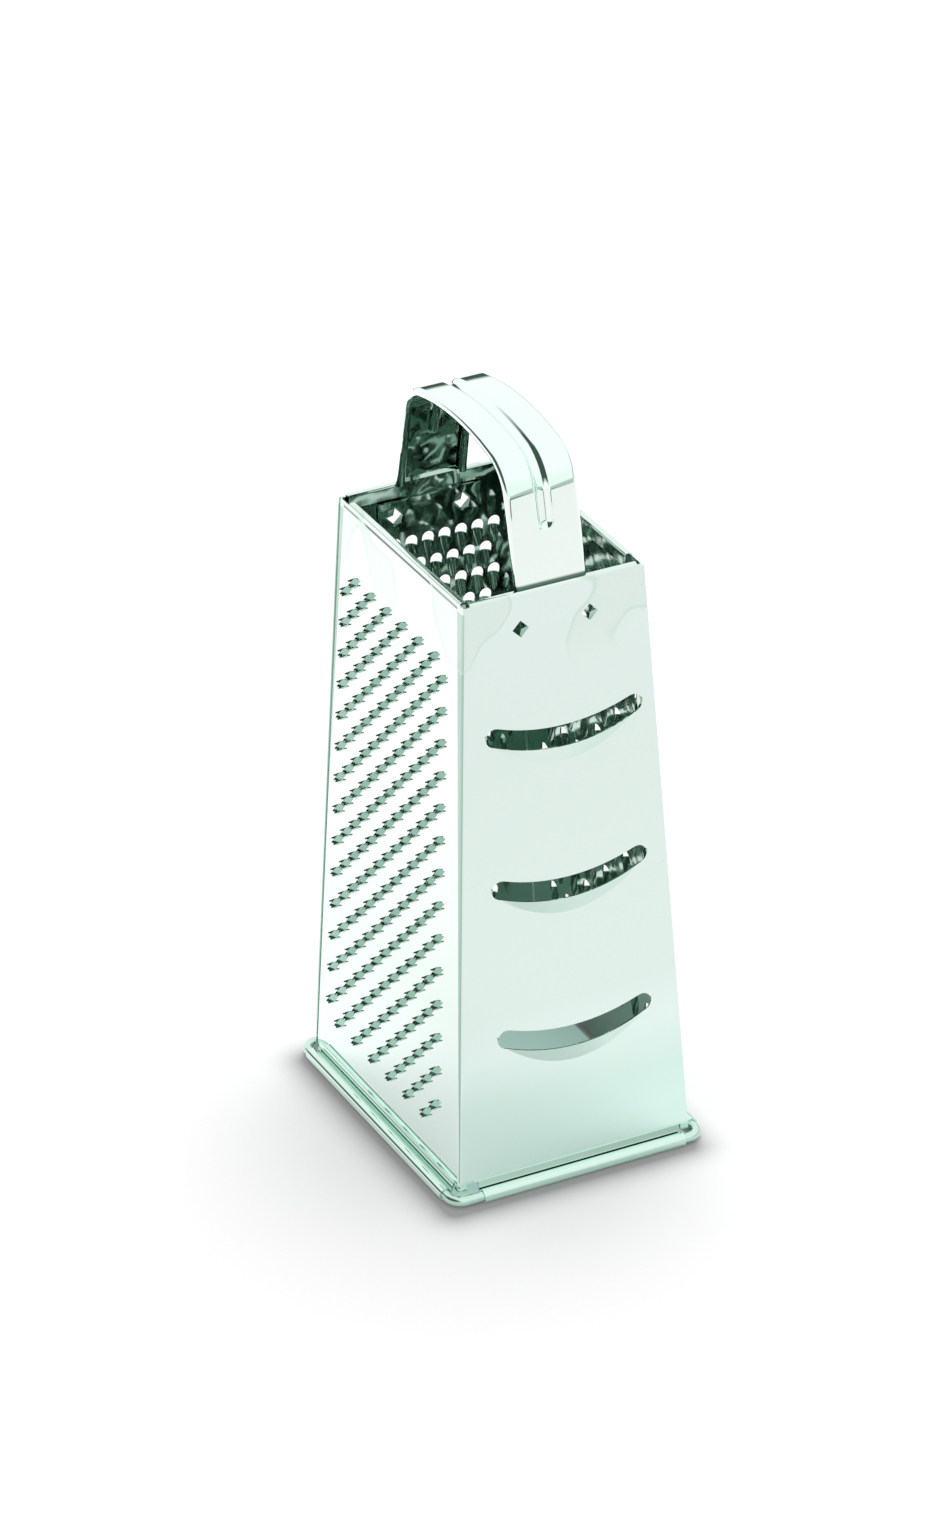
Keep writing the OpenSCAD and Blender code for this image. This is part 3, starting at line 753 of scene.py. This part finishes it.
def mirrored_glow(tree, place, distance, rays):
    along = calculate_vector(tree, "DOT_PRODUCT", place, behind_rasp)
    behind = fade_between(tree, along, behind_start, behind_full, full=behind_strength)
    far = fade_between(tree, distance, far_start, far_full, full=far_strength)
    brighter = calculate(tree, "MAXIMUM", behind, far)
    return add_emission(tree, glow_pink, calculate(tree, "MULTIPLY", brighter, rays["Is Glossy Ray"]))


print("mirrors see a glow of up to", max(behind_strength, far_strength))

# %% Put the table's material together
def make_table_white():
    material = bpy.data.materials.new("table_white")
    material.use_nodes = True
    tree = material.node_tree
    tree.nodes.remove(tree.nodes["Principled BSDF"])
    place = object_place(tree)
    rays = tree.nodes.new("ShaderNodeLightPath").outputs
    axes = split_axes(tree, place)
    distance = calculate_vector(tree, "LENGTH", place)
    outside = outside_the_body(tree, axes)
    foot_light = light_at_the_foot(tree, place, rays)

    paint = mix_colours(tree, 1, shade_in_front(tree, axes, rays), foot_light, blend_type="MULTIPLY")
    real = tree.nodes.new("ShaderNodeBsdfDiffuse")
    feed(tree, real.inputs["Color"], mix_colours(tree, outside, inside_painted_green_light, paint))
    lifted = lifted_table(tree, real.outputs["BSDF"], distance, outside, foot_light, rays)
    both = tree.nodes.new("ShaderNodeAddShader")
    feed(tree, both.inputs[0], lifted)
    feed(tree, both.inputs[1], mirrored_glow(tree, place, distance, rays))
    feed(tree, tree.nodes["Material Output"].inputs["Surface"], both.outputs["Shader"])
    return material


table.data.materials.append(make_table_white())
print("table painted:", table.data.materials[0].name)

# %% [markdown]
# The photograph is bright and nearly shadowless, yet the rolled edges of the handle carry dark
# lines. Those are mirror images of an unlit part of the studio. So the world is white to the
# camera and pale grey to the table, while mirrors see a studio of their own: a white ceiling
# above a dark band that leans, something pale below it, a lighter horizon behind the camera
# and a dark screen on the left. A picture of a studio could do this too, but a few ramps need
# no file and are easier to steer.

# %% Walls that only mirrors see
unlit = (0.05, 0.085, 0.068)
pale_floor = (0.9, 0.9, 0.9)
wall_lean = -0.3
wall_lift = 0.2
floor_end = 0.04
dark_start = 0.07
dark_end = 0.15
ceiling_start = 0.20


def studio_walls(tree, axes):
    leaning = calculate(tree, "MULTIPLY_ADD", axes["X"], wall_lean, axes["Z"])
    level = calculate(tree, "ADD", leaning, wall_lift)
    return add_ramp(tree, level, [
        (floor_end, pale_floor),
        (dark_start, unlit),
        (dark_end, unlit),
        (ceiling_start, white),
    ])


print("dark band of wall from", dark_start, "to", dark_end)

# %% A lighter horizon behind the camera
horizon = (0.80, 0.90, 0.85)
horizon_start = -0.72
horizon_full = -0.86
horizon_strength = 0.55
horizon_bottom = -0.01
horizon_level = 0.0


def lighten_horizon(tree, axes, walls):
    behind_camera = fade_between(tree, axes["Y"], horizon_start, horizon_full, full=horizon_strength)
    above = fade_between(tree, axes["Z"], horizon_bottom, horizon_level)
    return mix_colours(tree, calculate(tree, "MULTIPLY", behind_camera, above), walls, horizon)


print("horizon behind the camera lightened by", horizon_strength)

# %% A dark screen on the left
screen_start = -0.4
screen_full = -0.55
screen_bottom = 0.05
screen_body = 0.2


def stand_screen(tree, axes, walls):
    leftwards = fade_between(tree, axes["X"], screen_start, screen_full)
    upwards = fade_between(tree, axes["Z"], screen_bottom, screen_body)
    return mix_colours(tree, calculate(tree, "MULTIPLY", leftwards, upwards), walls, unlit)


print("screen stands left of", screen_start)

# %% Light the studio
sky_strength = 1.1
sky_for_table = (0.79, 0.79, 0.79)


def make_studio_world():
    world = bpy.data.worlds.new("studio")
    world.use_nodes = True
    tree = world.node_tree
    direction = tree.nodes.new("ShaderNodeTexCoord").outputs["Generated"]
    rays = tree.nodes.new("ShaderNodeLightPath").outputs
    axes = split_axes(tree, direction)
    lightened = lighten_horizon(tree, axes, studio_walls(tree, axes))
    mirrored = stand_screen(tree, axes, lightened)
    open_sky = mix_colours(tree, rays["Is Camera Ray"], sky_for_table, white)
    sky = tree.nodes["Background"]
    sky.inputs["Strength"].default_value = sky_strength
    feed(tree, sky.inputs["Color"], mix_colours(tree, rays["Is Glossy Ray"], open_sky, mirrored))
    return world


bpy.context.scene.world = make_studio_world()
bpy.context.scene.view_settings.view_transform = "Standard"
print("studio lit at strength", sky_strength)

# %% [markdown]
# One softbox hangs above and behind the grater and gives the table its soft shadow. Mirrors
# don't see it, because the steel in the photograph shows no bright square.

# %% Hang the softbox
softbox_place = (0.24, 0.36, 1.1)
softbox_size = 0.7
softbox_watts = 5.5

softbox_data = bpy.data.lights.new("ceiling_softbox", "AREA")
softbox_data.shape = "RECTANGLE"
softbox_data.size = softbox_size
softbox_data.size_y = softbox_size
softbox_data.energy = softbox_watts
softbox = bpy.data.objects.new("ceiling_softbox", softbox_data)
softbox.location = softbox_place
softbox.rotation_euler = (-Vector(softbox_place)).to_track_quat("-Z", "Y").to_euler()
softbox.visible_glossy = False
bpy.context.scene.collection.objects.link(softbox)
print("softbox hung", softbox_place[2], "m up")

# %% [markdown]

# %% Finish
print("scene finished")
